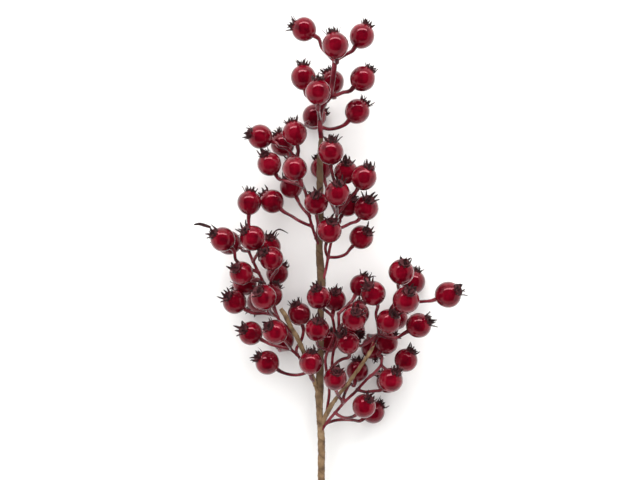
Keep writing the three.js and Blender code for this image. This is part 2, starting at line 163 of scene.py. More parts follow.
PICKS = {
    "top": PickPlan(
        spines=[[[1, 76, 37], [0, 85.5, 37.5], [0, 90.5, 38.5], [1.5, 100, 41], [7, 107, 44], [9, 116, 46],
            [10.5, 127.5, 48], [11, 134, 50]]],
        berries=[
            Berry([-12, 158, 47], 18, [160, 0], 7, [[1, 145, 49]]),
            Berry([11.5, 146, 72], 19, [100, 0], 7),
            Berry([31.5, 153, 49], 18.5, [65, 0], 7, [[19, 139, 50]]),
            Berry([-12.5, 122, 49], 18.5, [90, 0], 3, [[-7, 106.5, 44]]),
            Berry([-1.5, 111, 71], 18.5, [90, 10], 2, [[-1, 94.5, 52]]),
            back_berry([9, 118.5, 35], 18, [115, 0], 4),
            Berry([32, 121, 53], 18.5, [50, 5], 4, [[15, 109.5, 47], [20, 112, 50]]),
            Berry([28, 96.5, 42], 18.5, [50, 0], 1, [[9, 83, 38], [17, 86, 40]]),
            back_berry([-4, 93, 9], 18.5, [30, -20], 1, [[-6, 84, 27]]),
        ],
        # The one at the tip of the stem carries all above it, and is the thickest.
        spine_fullness=1.6,
        stalk_fullness=1.4,
    ),
    "upper_left": PickPlan(
        spines=[[[-0.5, -4.5, 35], [-3, 1.5, 40], [-6, 10.5, 42], [-8, 18, 43], [-9, 25.5, 44], [-10, 33, 46],
            [-13, 40.5, 48], [-16.5, 60, 42]]],
        berries=[
            Berry([-45, 77.5, 37], 18.5, [165, 25], 7, [[-25.5, 69, 40], [-32, 70.5, 38]]),
            back_berry([-28, 72, 21], 18.5, [120, 0], 7, [[-24, 63, 32]]),
            Berry([-19, 80, 45], 18.5, [105, 0], 7, [[-16.5, 65, 44]]),
            Berry([-38, 57, 37], 18, [115, 25], 6, [[-21, 43, 44], [-28.5, 45, 40]]),
            Berry([-19, 53.5, 67], 18, [110, -35], 5, [[-12, 39, 52]]),
            back_berry([-21.5, 40, 27], 17.5, [115, 20], 3, [[-14, 25, 38]]),
            Berry([-36, 29, 33], 18, [135, -15], 2, [[-15, 14, 40], [-23, 19, 36]]),
            Berry([-3, 28, 61], 17.5, [90, 50], 1, [[-1.5, 10.5, 48]]),
        ],
    ),
    "upper_right": PickPlan(
        spines=[[[1, -34.5, 35], [4, -24, 38], [6, -13.5, 40], [8, -3, 42], [11, 7.5, 45], [12.5, 18, 46],
            [12, 30, 48], [11, 44, 52]]],
        berries=[
            back_berry([1, 54, 9], 17, [105, 0], 5, [[7, 31.5, 24]]),
            Berry([8, 66, 69], 18.5, [85, 25], 7),
            Berry([19.5, 51, 53], 17.5, [85, 40], 6, [[16, 37.5, 50]]),
            Berry([33, 47, 69], 18.5, [65, 25], 5, [[18, 25, 50], [22.5, 31.5, 56]]),
            Berry([13, 35, 75], 18, [85, 40], 5, [[13, 24, 60]]),
            back_berry([20.5, 26, 39], 17, [55, 40], 4, [[15, 13.5, 42]]),
            Berry([34.5, 24, 51], 18.5, [70, 45], 4, [[18, 10, 46], [25, 13.5, 46]]),
            Berry([7, 7, 65], 18, [75, 40], 2, [[4, -7.5, 48]]),
            Berry([31, 2, 37], 18, [45, 45], 2, [[12, -13, 38], [19.5, -10.5, 36]]),
        ],
    ),
    "left": PickPlan(
        spines=[[[-21, -70, 37.5], [-26.5, -63.5, 38], [-32, -58, 38], [-34, -50, 37], [-37.5, -41, 36],
            [-42, -32.5, 39], [-46, -24.5, 42], [-50, -16.5, 44], [-53.5, -8.5, 44]]],
        berries=[
            Berry([-53, 28, 39], 18, [85, 0], 8, [[-53, 9, 42]]),
            Berry([-73, 0.5, 59], 18, [145, 30], 6, [[-57, -19, 48], [-63.5, -14.5, 52]]),
            back_berry([-68.5, -2, 27], 18.5, [160, 0], 8, [[-58, -8, 40]]),
            Berry([-50.5, 1.5, 63], 18.5, [135, 30], 7),
            Berry([-38, -5, 33], 17.5, [85, 35], 7, [[-46.5, -10.5, 38]]),
            Berry([-36.5, -14, 61], 17.5, [135, 35], 4, [[-36, -28, 48]]),
            back_berry([-32, -25, 20], 17, [55, 0], 4),
            Berry([-59, -25, 61], 17.5, [130, 50], 5, [[-49, -30, 50]]),
            back_berry([-56.5, -32.5, 29], 18.5, [-145, -30], 5),
            Berry([-42.5, -43, 75], 18.5, [125, 50], 2, [[-37, -54, 50]]),
            back_berry([-46, -46.5, 9], 18.5, [-130, -20], 2),
            Berry([-64, -46.5, 37], 18, [135, 40], 2, [[-40.5, -55, 34], [-49.5, -55, 33]]),
            back_berry([-37, -41.5, 45], 17.5, [60, -20], 2),
        ],
    ),
    "lower_left": PickPlan(
        spines=[[[-9, -99, 35], [-14, -91.5, 38], [-17, -86, 39], [-22, -82, 40]]],
        berries=[
            Berry([-52, -70, 39], 18, [145, 45], 3, [[-34.5, -79, 38], [-40.5, -77, 37]]),
            Berry([-33.5, -69, 67], 18, [135, 40], 3, [[-23, -79.5, 50]]),
            back_berry([-27.5, -75, 9], 17, [55, -20], 3),
            Berry([-39.5, -92, 43], 18, [145, 20], 0, [[-11, -100.5, 36], [-21, -101, 37], [-28, -100, 38]]),
            Berry([-7, -92, 69], 17, [85, 10], 0, [[-5, -106, 52]]),
            back_berry([-15.5, -55.5, 33], 17.5, [110, 20], 2, [[-18.5, -83, 34], [-15, -78, 31],
                [-13, -71, 30]]),
        ],
    ),
    "middle": PickPlan(
        spines=[[[5, -129, 29], [7, -112.5, 33], [5, -99, 36], [4, -90, 38], [6, -82.5, 40], [10, -73.5, 41],
            [10.5, -65, 42], [9, -57, 43]]],
        berries=[
            Berry([-1, -43, 63], 17.5, [105, 35], 7, [[4.5, -53, 50]]),
            back_berry([11, -45, 33], 17.5, [85, 40], 7),
            Berry([-2, -67, 65], 17.5, [85, 40], 4, [[-1, -80, 50]]),
            back_berry([6, -76, 14], 17.5, [60, 0], 4),
        ],
    ),
    "right": PickPlan(
        spines=[[[38, -82.5, 39], [41, -76.5, 39.5], [44, -71, 41], [47, -64.5, 42], [51, -55.5, 42],
            [56, -47, 42]]],
        berries=[
            Berry([51.5, -61, 67], 18, [60, 40], 2, [[47, -70, 52]]),
            back_berry([57, -58.5, 31], 18, [45, -20], 4),
            back_berry([39, -81, 9], 17, [-60, 0], 2, [[40.5, -71.5, 28]]),
            Berry([74, -64, 49], 18.5, [30, 25], 2, [[51, -73, 42], [59, -73, 42]]),
            Berry([64.5, -45, 79], 19, [75, 45], 5, [[58.5, -49.5, 58]]),
            Berry([61, -24, 67], 18.5, [75, 40], 5, [[59, -39, 52]]),
            back_berry([70, -31.5, 9], 18.5, [80, 5], 5),
            Berry([96, -41, 65], 19, [30, 35], 5, [[66, -47, 50], [78, -46, 56]]),
            Berry([40, -40, 63], 18, [125, 40], 2, [[43.5, -64, 48], [42, -55, 52]]),
            back_berry([25.5, -68, 24], 17, [-40, 55], 2, [[39, -74, 34], [33, -79, 34]]),
        ],
    ),
    "lower_right": PickPlan(
        spines=[
            [[0, -145, 25], [5, -137, 27], [11, -130, 29], [17, -123, 31], [23, -117, 33], [28.5, -112, 34],
                [33, -106.5, 35], [38, -102, 36], [43, -97.5, 37], [46, -94, 38]],
            [[17, -123, 31], [17, -121.5, 35], [14, -117, 38.5], [11, -111.5, 39], [9, -96.5, 40],
                [10, -84, 41], [13, -75, 42], [14, -66, 43], [14, -55, 42]],
        ],
        berries=[
            Berry([64.5, -90, 35], 17.5, [60, 15], 9, [[52.5, -99, 34]]),
            Berry([53, -105, 53], 18, [60, 30], 5, [[34.5, -114, 38], [42, -113, 42]]),
            back_berry([50.5, -106.5, 12], 17, [130, -20], 7, [[44.5, -100, 28]]),
            Berry([33, -124.5, 47], 17.5, [60, 35], 2, [[18, -133.5, 34], [22.5, -133, 38]]),
            back_berry([40, -129, 9], 17.5, [45, 0], 1, [[13, -135, 24], [24, -135, 18]]),
            back_berry([50, -77, 21], 17.5, [45, -10], 9, [[46, -87, 30]]),
            back_berry([30.5, -34, 33], 16.5, [65, 0], 18, [[19.5, -51, 38]]),
            Berry([25.5, -59, 71], 17.5, [75, 50], 16, [[16, -64, 46]]),
            back_berry([28, -55, 39], 18, [70, -20], 17),
            Berry([21, -77, 53], 17, [125, 20], 14, [[13.5, -91, 44]]),
            Berry([11.5, -104, 67], 17, [80, 45], 12),
            back_berry([28, -98, 9], 17, [90, 0], 11, [[19, -114, 26], [22.5, -108, 20]]),
        ],
    ),
}

# Two crown sepals that dried long and curled: the path of each from the crown outwards.
LONG_SEPALS = {
    "long_sepal_left": [[-82, 9.5, 65], [-86.5, 11, 66], [-90.5, 12, 66], [-94.5, 11.5, 65]],
    "long_sepal_middle": [[-35, 5, 42], [-33, 7, 42.5], [-30.5, 8, 43], [-27.5, 7, 43], [-24, 5, 42]],
}
LONG_SEPAL_WIDTHS = {"long_sepal_left": 2.4, "long_sepal_middle": 1.1}  # millimetres

# ---- Routes ----------------------------------------------------------------------------------------------


def place(point: Iterable[float]) -> np.ndarray:
    """Gives the point that is seen at a place of the plan, for its height.

    Args:
        point: across, along and height, in millimetres.

    Returns:
        The point in the layout, in millimetres.
    """
    across, along, height = point
    share = (EYE_HEIGHT - height) / (EYE_HEIGHT - STEM_LEVEL)
    return np.array((across * share, along * share, height))


def in_frame(point: np.ndarray) -> Vector:
    """Turns a point of the layout, in millimetres, into one of the part's frame, in metres."""
    return Vector((point + LAYOUT_ZERO) * MM)


class SmoothRoute:
    """A smooth curve through points: a centripetal Catmull-Rom spline."""

    DIVISIONS = 200
    SAME_PLACE = 0.01  # points nearer than this are one

    def __init__(self, points: Iterable[np.ndarray]) -> None:
        """Keeps the points and measures the curve.

        Args:
            points: at least two points, in order.
        """
        self.points = [np.asarray(point, float) for point in points]
        ticks = [self.at(i / self.DIVISIONS) for i in range(self.DIVISIONS + 1)]
        steps = [np.linalg.norm(after - before) for before, after in zip(ticks, ticks[1:])]
        self.lengths = np.concatenate(([0.0], np.cumsum(steps)))

    @property
    def length(self) -> float:
        """The length of the curve."""
        return float(self.lengths[-1])

    def at(self, share: float) -> np.ndarray:
        """Gives the point at a share of the way, counted in points and not in length.

        Args:
            share: from 0 to 1.

        Returns:
            The point there.
        """
        known = self.points
        whole, part = divmod((len(known) - 1) * share, 1)
        first = min(int(whole), len(known) - 2)
        part = 1.0 if int(whole) > first else part
        start, end = known[first], known[first + 1]
        before = known[first - 1] if first > 0 else 2 * known[0] - known[1]
        after = known[first + 2] if first + 2 < len(known) else 2 * known[-1] - known[-2]
        spans = [math.sqrt(np.linalg.norm(b - a)) for a, b in ((before, start), (start, end), (end, after))]
        middle = spans[1] if spans[1] > self.SAME_PLACE else 1.0
        lead, tail = (span if span > self.SAME_PLACE else middle for span in (spans[0], spans[2]))
        leave = (start - before) / lead - (end - before) / (lead + middle) + (end - start) / middle
        arrive = (end - start) / middle - (after - start) / (middle + tail) + (after - end) / tail
        leave, arrive = leave * middle, arrive * middle
        square = 3 * (end - start) - 2 * leave - arrive
        cube = 2 * (start - end) + leave + arrive
        return start + part * (leave + part * (square + part * cube))

    def share_at(self, part: float) -> float:
        """Turns a part of the length into the share of the way that at() takes."""
        ticks = np.linspace(0, 1, self.DIVISIONS + 1)
        return float(np.interp(part * self.length, self.lengths, ticks))

    def spaced(self, count: int) -> list[np.ndarray]:
        """Gives points at equal distances along the curve.

        Args:
            count: the number of stretches between them.

        Returns:
            One point more than the count.
        """
        return [self.at(self.share_at(i / count)) for i in range(count + 1)]


@dataclass
class Ball:
    """A ball of room that something takes up, in millimetres."""

    middle: tuple[float, float, float]
    radius: float


def balls(item: Berry) -> tuple[Ball, Ball]:
    """Gives the room that a berry and its crown take up.

    Args:
        item: the berry.

    Returns:
        A ball for the berry and one for its crown.
    """
    middle = item.middle
    crown = middle + item.direction * (item.radius + CROWN_HEIGHT / 2)
    return Ball(tuple(middle), item.radius), Ball(tuple(crown), item.radius * CROWN_LIP)


def stem_balls(plan: StemPlan) -> list[Ball]:
    """Gives the room that a wrapped stem takes up.

    Args:
        plan: the stem.

    Returns:
        A row of balls along it.
    """
    curve = SmoothRoute(place(point) for point in plan.points)
    count = math.ceil(curve.length / min(plan.radii))
    return [Ball(tuple(curve.at(i / count)), radius_at(plan, i / count)) for i in range(count + 1)]


def radius_at(plan: StemPlan, share: float) -> float:
    """Gives a wrapped stem's radius at a share of the way, counted in points."""
    return float(np.interp(share * (len(plan.radii) - 1), range(len(plan.radii)), plan.radii))


def push(first: Ball, second: Ball) -> float:
    """Gives how far two balls must move apart, with the sign that the first one takes."""
    missing = first.radius + second.radius + CLEARANCE - math.dist(first.middle, second.middle)
    return max(0.0, missing) * (1 if first.middle[2] >= second.middle[2] else -1)


def could_touch(first: Ball, second: Ball) -> bool:
    """Tells whether two balls are so near in the plan that a change of height could make them touch."""
    apart = math.dist(first.middle[:2], second.middle[:2])
    return apart < first.radius + second.radius + SETTLE_REACH


def settle(items: list[Berry], stems: list[Ball]) -> None:
    """Raises and lowers the berries until none touches another, a crown or a stem.

    Args:
        items: every berry of the sprig, whose heights change.
        stems: the room that the wrapped stems take up.
    """
    rooms = [balls(item) for item in items]
    pairs = [
        (i, j, a, b)
        for i in range(len(items))
        for j in range(i + 1, len(items))
        for a in (0, 1)
        for b in (0, 1)
        if could_touch(rooms[i][a], rooms[j][b])
    ]
    near_stems = [[stem for stem in stems if could_touch(room[0], stem)] for room in rooms]
    for _ in range(SETTLE_PASSES):
        rooms = [balls(item) for item in items]
        lifts = [0.0] * len(items)
        for i, j, a, b in pairs:
            share = push(rooms[i][a], rooms[j][b]) * SETTLE_SHARE
            lifts[i] += share
            lifts[j] -= share
        for i, item in enumerate(items):
            lifts[i] += max((push(rooms[i][0], stem) for stem in near_stems[i]), key=abs, default=0.0)
            lowest = min(ball.middle[2] - ball.radius for ball in rooms[i]) - item.at[2]
            height = item.at[2] + min(max(lifts[i], -SETTLE_LIMIT), SETTLE_LIMIT)
            item.at[2] = max(height, -lowest)


class StalkRouter:
    """Finds the way of every spine and stalk round the berries."""

    def __init__(self, items: list[Berry]) -> None:
        """Notes the room that the settled berries take up.

        Args:
            items: every berry of the sprig.
        """
        room = [ball for item in items for ball in balls(item)]
        self.middles = np.array([ball.middle for ball in room])
        self.sizes = np.array([ball.radius for ball in room])

    def route(self, points: list[np.ndarray], radius: float) -> list[np.ndarray]:
        """Bends a rod outwards wherever it comes too close to a berry.

        Args:
            points: the points that the rod goes through.
            radius: half of the rod's thickness.

        Returns:
            Evenly spaced points along the bent rod.
        """
        curve = SmoothRoute(points)
        path = curve.spaced(max(3, round(curve.length / STALK_STEP)))
        for _ in range(BEND_PASSES):
            for i in range(1, len(path) - 1):
                if not self.crowded(path[i], radius):
                    continue
                for middle, size in zip(self.middles, self.sizes):
                    away = path[i] - middle
                    apart = math.dist(path[i], middle)
                    room = size + radius + CLEARANCE
                    if apart < room:
                        path[i] = middle + away / apart * room
        return path

    def crowded(self, point: np.ndarray, radius: float) -> bool:
        """Tells whether a rod of a radius would come too close to a berry at a point."""
        apart = np.linalg.norm(self.middles - point, axis=1)
        return bool(np.any(apart < self.sizes + radius + CLEARANCE))

    def spines(self, plan: PickPlan) -> list[list[np.ndarray]]:
        """Routes the spines of a pick, a later one starting on an earlier one.

        Args:
            plan: the pick.

        Returns:
            The points along each spine.
        """
        paths: list[list[np.ndarray]] = []
        for spine in plan.spines:
            start, *rest = [place(point) for point in spine]
            foot = self.nearest(start, self.feet(paths)) if paths else start
            paths.append(self.route([foot, *rest], SPINE_RADIUS))
        return paths

    @staticmethod
    def feet(paths: list[list[np.ndarray]]) -> list[np.ndarray]:
        """Gives the places along the given rods where a stalk may leave."""
        curves = [SmoothRoute(path) for path in paths]
        return [curve.at(i / KNOT_SEARCH) for curve in curves for i in range(KNOT_SEARCH + 1)]

    @staticmethod
    def nearest(knot: np.ndarray, feet: list[np.ndarray]) -> np.ndarray:
        """Gives the place that is nearest to a knot."""
        return min(feet, key=lambda point: math.dist(point, knot))

    def stalk(self, foot: np.ndarray, item: Berry, reach: float) -> list[np.ndarray]:
        """Gives a stalk's way from its knot to its berry.

        Args:
            foot: the knot that it leaves.
            item: the berry that it carries.
            reach: how far it runs into the berry.

        Returns:
            Points from the knot to the side of the berry away from its crown, the last stretch straight.
        """
        way = [foot, *(place(point) for point in item.bends)]
        arrival = way[-1] - item.middle
        arrival /= np.linalg.norm(arrival)
        end = -item.direction * (1 - LEAN) + arrival * LEAN
        end /= np.linalg.norm(end)
        path = self.route([*way, item.middle + end * (item.radius + LEAD)], STALK_RADIUS)
        return [*path, item.middle + end * (item.radius - reach)]


# ---- Mesh tools ------------------------------------------------------------------------------------------


def level(_around: float, _along: float) -> float:
    """A relief with nothing on it."""
    return 0.0


def sweep(
    mesh: BMesh,
    path: list[Vector],
    radii: list[float],
    sides: int,
    relief: Lift = level,
) -> list[BMVert]:
    """Extrudes a ring along a path, closes both ends and lays a UV map round and along it.

    Args:
        mesh: the mesh that the rod is added to.
        path: the middles of the rings.
        radii: the radius of each ring.
        sides: the number of corners of a ring.
        relief: how far a corner stands out, for its turn from 0 to 1 and its distance along.

    Returns:
        The rod's corners.
    """
    around = mesh.verts.layers.float.get("around") or mesh.verts.layers.float.new("around")
    along = mesh.verts.layers.float.get("along") or mesh.verts.layers.float.new("along")
    uv = mesh.loops.layers.uv.get("wrap") or mesh.loops.layers.uv.new("wrap")
    heading = (path[1] - path[0]).normalized()
    turn = heading.to_track_quat("Z", "Y")
    first = bmesh.ops.create_circle(mesh, cap_ends=True, segments=sides, radius=1.0)["verts"]
    for i, corner in enumerate(first):
        corner[around] = i / sides
    ring = first
    rest = [corner.co.copy() for corner in first]
    # A dict keeps its order, where a set would give the mesh's elements another one in each run.
    edges = list(dict.fromkeys(edge for corner in first for edge in corner.link_edges))
    rod = list(first)
    distance = 0.0
    for i, middle in enumerate(path):
        if i > 0:
            new = bmesh.ops.extrude_edge_only(mesh, edges=edges)["geom"]
            made = {corner[around]: corner for corner in new if isinstance(corner, BMVert)}
            edges = [item for item in new if isinstance(item, BMEdge)]
            edges = [edge for edge in edges if all(made[end[around]] is end for end in edge.verts)]
            ring = [made[corner[around]] for corner in ring]
            rod.extend(ring)
            distance += (middle - path[i - 1]).length
            ahead = (path[min(i + 1, len(path) - 1)] - path[i - 1]).normalized()
            turn = heading.rotation_difference(ahead) @ turn
            heading = ahead
        for corner, base in zip(ring, rest):
            size = radii[i] + relief(corner[around], distance)
            corner.co = middle + turn @ (base * size)
            corner[along] = distance
    bmesh.ops.contextual_create(mesh, geom=ring)
    for face in {face for corner in rod for face in corner.link_faces}:
        wraps = max(v[around] for v in face.verts) - min(v[around] for v in face.verts) > 0.5
        face.smooth = len(face.verts) == 4
        for loop in face.loops:
            turned = loop.vert[around] + (1.0 if wraps and loop.vert[around] < 0.5 else 0.0)
            loop[uv].uv = (turned, loop.vert[along])
    return rod


def finished(mesh: BMesh, name: str, materials: list[Material]) -> Object:
    """Closes a mesh up, turns its faces outwards and makes an object of it at the origin.

    Args:
        mesh: the mesh, in metres, in the part's frame. It is freed.
        name: the piece's name.
        materials: its materials, in the order of its faces' material numbers.

    Returns:
        The new object.
    """
    bmesh.ops.remove_doubles(mesh, verts=mesh.verts, dist=0.005 * MM)
    bmesh.ops.recalc_face_normals(mesh, faces=mesh.faces)
    # What bears on the surface is pressed flat there.
    for corner in mesh.verts:
        corner.co.z = max(corner.co.z, 0.0)
    data = bpy.data.meshes.new(name)
    mesh.to_mesh(data)
    mesh.free()
    piece = bpy.data.objects.new(name, data)
    bpy.context.scene.collection.objects.link(piece)
    for material in materials:
        data.materials.append(material)
    return piece


class Slot(Enum):
    """Names of material slots."""

    BERRY = "berry"
    STALK = "stalk"
    TAPE = "tape"
    WIRE = "wire"
    SEPAL = "sepal"


def declare(piece: Object, slot: Slot, *nodes: str) -> None:
    """Makes a piece ride on the sprig's one body and stand for nodes of the part.

    Args:
        piece: the finished piece.
        slot: a material slot for its finish; it is not used.
        nodes: the nodes that it stands for.
    """
    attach(piece, "root")
    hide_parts(*nodes)
    log.info("%s: %d faces", piece.name, len(piece.data.polygons))


# ---- Finishes --------------------------------------------------------------------------------------------


def linear(colour: str) -> tuple[float, float, float, float]:
    """Turns an sRGB colour into a linear one.

    Args:
        colour: the colour as #rrggbb.

    Returns:
        Linear red, green and blue, and full alpha.
    """
    parts = [int(colour[i : i + 2], 16) / 255 for i in (1, 3, 5)]
    curved = [part / 12.92 if part <= 0.04045 else ((part + 0.055) / 1.055) ** 2.4 for part in parts]
    return (*curved, 1.0)


def set_inputs(tree: NodeTree, node: Node, inputs: dict[str | int, object]) -> None:
    """Sets or links a node's inputs.

    Args:
        tree: the node tree.
        node: the node.
        inputs: what each input takes: a constant, an output, or a node for its first output.
    """
    for name, source in inputs.items():
        if isinstance(source, Node):
            source = next(output for output in source.outputs if output.enabled)
        if isinstance(source, NodeSocket):
            tree.links.new(source, node.inputs[name])
        else:
            node.inputs[name].default_value = source


def add_node(
    tree: NodeTree,
    kind: str,
    inputs: dict[str | int, object] | None = None,
    stops: Iterable[tuple[float, str]] = (),
    **settings: object,
) -> Node:
    """Adds a node with its settings, its values and its links.

    Args:
        tree: the node tree.
        kind: the node's type, after ShaderNode.
        inputs: what its inputs take, as set_inputs() has it.
        stops: positions and hex colours, where the node has a ramp.
        settings: attributes of the node itself.

    Returns:
        The new node.
    """
    node = tree.nodes.new(f"ShaderNode{kind}")
    for name, value in settings.items():
        setattr(node, name, value)
    set_inputs(tree, node, inputs or {})
    for number, (position, colour) in enumerate(stops):
        elements = node.color_ramp.elements
        element = elements[number] if number < len(elements) else elements.new(position)
        element.position = position
        element.color = linear(colour)
    return node


def per_mm(size: float) -> float:
    """The scale at which a pattern on coordinates in metres repeats every so many millimetres."""
    return 1.0 / (size * MM)


@dataclass(frozen=True)
class Finish:
    """What every finish has: a name and the constants of its shader."""

    name: str
    roughness: float
    bump_height: float  # millimetres
    metallic: float = 0.0
    ior: float = 1.5

    def start(self) -> tuple[Material, NodeTree, NodeSocket]:
        """Makes the material with its shader's constants set.

        Returns:
            The material, its node tree and the coordinates that its patterns take.
        """
        material = bpy.data.materials.new(self.name)
        material.use_nodes = True
        tree = material.node_tree
        constants = {"Roughness": self.roughness, "Metallic": self.metallic, "IOR": self.ior}
        set_inputs(tree, tree.nodes["Principled BSDF"], constants)
        return material, tree, add_node(tree, "TexCoord").outputs["Object"]

    def dress(self, tree: NodeTree, inputs: dict[str, object], height: Node) -> None:
        """Gives the shader its patterns.

        Args:
            tree: the material's node tree.
            inputs: what the shader's inputs take.
            height: the node that gives the relief, from 0 to 1, of this finish's depth.
        """
        bump = add_node(tree, "Bump", {"Strength": 1.0, "Distance": self.bump_height * MM, "Height": height})
        set_inputs(tree, tree.nodes["Principled BSDF"], {**inputs, "Normal": bump})


@dataclass(frozen=True)
class LacqueredBerry(Finish):
    """Moulded foam dipped in clear red lacquer: deep red, wet gloss and faint sags in the coat."""

    shade: str = "#680416"
    light: str = "#7b0a1f"
    deep: str = "#460310"
    tint: str = "#ffaeb8"  # light that comes back through the red lacquer is reddish too
    mottle: float = 7.0  # millimetres from one lighter patch to the next
    sag: float = 5.0  # millimetres between the waves in the lacquer
    fleck: float = 0.9  # millimetres between pinholes and dust under the lacquer
    dulling: float = 0.09  # roughness that the dust adds

    def build(self) -> Material:
        """Builds the material.

        Returns:
            The finished material.
        """
        material, tree, spot = self.start()
        patches = add_node(tree, "TexNoise", {"Vector": spot, "Scale": per_mm(self.mottle), "Detail": 3.0})
        stops = [(0.3, self.deep), (0.52, self.shade), (0.75, self.light)]
        colour = add_node(tree, "ValToRGB", {"Fac": patches}, stops)
        # Painted shade: a berry at the back is darkened towards the deep red.
        painted_shade = add_node(tree, "Attribute", attribute_name="painted_shade").outputs["Fac"]
        layers = {"Factor": painted_shade, "A": colour, "B": linear(self.deep)}
        shaded = add_node(tree, "Mix", layers, data_type="RGBA")
        flecks = add_node(tree, "TexNoise", {"Vector": spot, "Scale": per_mm(self.fleck), "Detail": 2.0})
        dull = self.roughness + self.dulling
        limits = {"From Min": 0.35, "From Max": 0.8, "To Min": self.roughness, "To Max": dull}
        gloss = add_node(tree, "MapRange", {"Value": flecks, **limits})
        waves = add_node(tree, "TexNoise", {"Vector": spot, "Scale": per_mm(self.sag), "Detail": 1.0})
        inputs = {"Base Color": shaded, "Specular Tint": linear(self.tint), "Roughness": gloss}
        self.dress(tree, inputs, waves)
        return material


@dataclass(frozen=True)
class DriedSepal(Finish):
    """Pressed paper, dyed and dried: maroon where it leaves the berry, nearly black at its curled tips."""

    root: str = "#45121a"
    body: str = "#2e0d11"
    tip: str = "#190a0a"
    # pale flecks, partly dust and partly a painted sheen that stands in for the crowns' highlights
    dust_and_sheen: str = "#6f5252"
    most_dust_and_sheen: float = 0.7  # most of the pale flecks' colour that shows
    vein: float = 0.6  # millimetres between veins

    def build(self) -> Material:
        """Builds the material.

        Returns:
            The finished material.
        """
        material, tree, spot = self.start()
        reach = add_node(tree, "Attribute", attribute_name="reach").outputs["Fac"]
        stops = [(0.0, self.root), (0.45, self.body), (1.0, self.tip)]
        base = add_node(tree, "ValToRGB", {"Fac": reach}, stops)
        grain = add_node(tree, "TexNoise", {"Vector": spot, "Scale": per_mm(self.vein), "Detail": 4.0})
        # Pale flecks of dust and painted sheen, scattered by the grain.
        limits = {"From Min": 0.58, "From Max": 0.78, "To Min": 0.0, "To Max": self.most_dust_and_sheen}
        dust_and_sheen_share = add_node(tree, "MapRange", {"Value": grain, **limits})
        layers = {"Factor": dust_and_sheen_share, "A": base, "B": linear(self.dust_and_sheen)}
        self.dress(tree, {"Base Color": add_node(tree, "Mix", layers, data_type="RGBA")}, grain)
        return material


@dataclass(frozen=True)
class MouldedStalk(Finish):
    """Injection-moulded polyethylene, dark maroon: a waxy gloss, with paler rubbed stretches."""

    shade: str = "#621420"
    rubbed: str = "#8a3a44"
    shadow: str = "#32060f"
    patch: float = 9.0  # millimetres between rubbed stretches
    ripple: float = 1.6  # millimetres between the moulding's ripples

    def build(self) -> Material:
        """Builds the material.

        Returns:
            The finished material.
        """
        material, tree, spot = self.start()
        patches = add_node(tree, "TexNoise", {"Vector": spot, "Scale": per_mm(self.patch), "Detail": 4.0})
        stops = [(0.3, self.shadow), (0.5, self.shade), (0.72, self.rubbed)]
        ripples = add_node(tree, "TexNoise", {"Vector": spot, "Scale": per_mm(self.ripple), "Detail": 2.0})
        self.dress(tree, {"Base Color": add_node(tree, "ValToRGB", {"Fac": patches}, stops)}, ripples)
        return material


@dataclass(frozen=True)
class CrepeTape(Finish):
    """Waxed crepe paper wound in a spiral: matt olive brown, fine crinkles and a darker edge at each turn."""

    shade: str = "#80664a"
    light: str = "#a08666"
    shadow: str = "#4f3b2b"
    past_edge: str = "#bfb8b2"  # darkens the tape just past the edge of a turn
    before_edge: str = "#e4e0dc"  # and a little just before it
    off_edge: str = "#ffffff"  # but nowhere else
    crinkle: float = 0.7  # millimetres; real crepe is finer, and would not show
    blotch: float = 6.0  # millimetres between stretched, paler places
    fibre: float = 0.5  # millimetres between the stretched fibres, round the stem
    fibre_length: float = 9.0  # millimetres

    def build(self) -> Material:
        """Builds the material.

        Returns:
            The finished material.
        """
        material, tree, spot = self.start()
        blotches = add_node(tree, "TexNoise", {"Vector": spot, "Scale": per_mm(self.blotch), "Detail": 5.0})
        stops = [(0.28, self.shadow), (0.5, self.shade), (0.75, self.light)]
        colour = add_node(tree, "ValToRGB", {"Fac": blotches}, stops)
        # Painted shade: the tape near the stem's tip is darkened towards the shadow colour.
        painted_shade = add_node(tree, "Attribute", attribute_name="painted_shade").outputs["Fac"]
        layers = {"Factor": painted_shade, "A": colour, "B": linear(self.shadow)}
        tape_with_painted_shade = add_node(tree, "Mix", layers, data_type="RGBA")
        split = add_node(tree, "SeparateXYZ", {"Vector": add_node(tree, "UVMap", uv_map="wrap")})
        winding = {0: split.outputs["Y"], 1: per_mm(TAPE_PITCH), 2: split.outputs["X"]}
        turns = add_node(tree, "Math", winding, operation="MULTIPLY_ADD")
        edge = add_node(tree, "Math", {0: turns}, operation="FRACT")
        stops = [(0.0, self.past_edge), (0.08, self.off_edge), (0.92, self.off_edge), (1.0, self.before_edge)]
        layers = {"Factor": 1.0, "A": tape_with_painted_shade, "B": add_node(tree, "ValToRGB", {"Fac": edge}, stops)}
        lined = add_node(tree, "Mix", layers, data_type="RGBA", blend_type="MULTIPLY")
        crinkles = add_node(tree, "TexNoise", {"Vector": spot, "Scale": per_mm(self.crinkle), "Detail": 3.0})
        scale = (per_mm(self.fibre), per_mm(self.fibre_length), per_mm(self.fibre))
        stretched = add_node(tree, "Mapping", {"Vector": spot, "Scale": scale})
        fibres = add_node(tree, "TexNoise", {"Vector": stretched, "Scale": 1.0, "Detail": 2.0})
        relief = add_node(tree, "Math", {0: crinkles, 1: fibres}, operation="ADD")
        self.dress(tree, {"Base Color": lined}, relief)
        return material


@dataclass(frozen=True)
class DrawnWire(Finish):
    """Annealed drawn steel wire: dark grey metal with a dull oxide and draw marks."""

    shade: str = "#6c6a66"
    oxide: str = "#3a3632"
    mark: float = 0.5  # millimetres between the draw marks

    def build(self) -> Material:
        """Builds the material.

        Returns:
            The finished material.
        """
        material, tree, spot = self.start()
        marks = add_node(tree, "TexNoise", {"Vector": spot, "Scale": per_mm(self.mark), "Detail": 4.0})
        colour = add_node(tree, "ValToRGB", {"Fac": marks}, [(0.35, self.oxide), (0.65, self.shade)])
        self.dress(tree, {"Base Color": colour}, marks)
        return material


